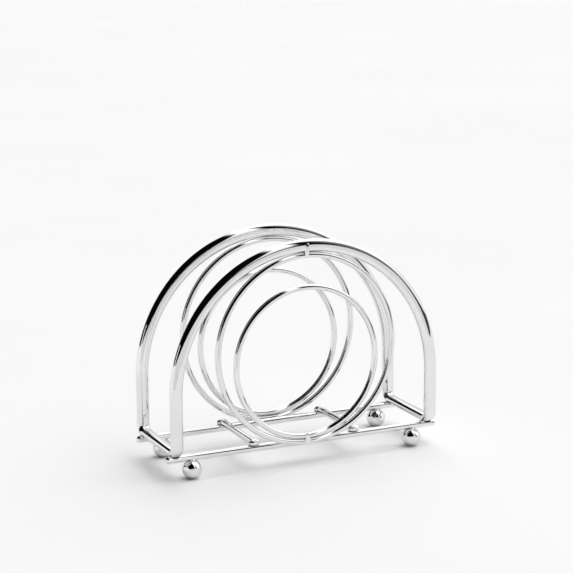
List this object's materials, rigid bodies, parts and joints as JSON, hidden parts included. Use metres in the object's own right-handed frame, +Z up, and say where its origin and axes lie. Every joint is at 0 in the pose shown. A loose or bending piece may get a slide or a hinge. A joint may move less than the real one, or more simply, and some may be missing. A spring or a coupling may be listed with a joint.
{
  "type": "napkin holder",
  "caption": "Free-standing chromed steel napkin holder: arched hoops with nested rings at front and rear, side runs, rails, cross bars and ball feet round an open slot.",
  "frame": {"origin": "on the table, under the middle of the holder", "axes": "+X along the rails to the right, +Y to the rear, +Z up; the front is at -Y"},
  "size_m": [0.176, 0.0602, 0.1346],
  "materials": {
    "chrome": "bright mirror-polished chrome plate on steel bar and wire",
    "weld": "bright chrome plate over small uneven weld beads"
  },
  "bodies": {
    "root": {"front_hoop": "chrome", "rear_hoop": "chrome", "front_rail": "chrome", "rear_rail": "chrome", "left_cross_bar": "chrome", "right_cross_bar": "chrome", "front_outer_ring": "chrome", "front_inner_ring": "chrome", "rear_outer_ring": "chrome", "rear_inner_ring": "chrome", "front_left_foot": "chrome", "front_right_foot": "chrome", "rear_left_foot": "chrome", "rear_right_foot": "chrome", "front_top_weld": "weld", "front_bottom_weld": "weld", "rear_top_weld": "weld", "rear_bottom_weld": "weld", "rail_welds": "weld", "cross_bar_welds": "weld", "foot_welds": "weld"}
  },
  "joints": []
}
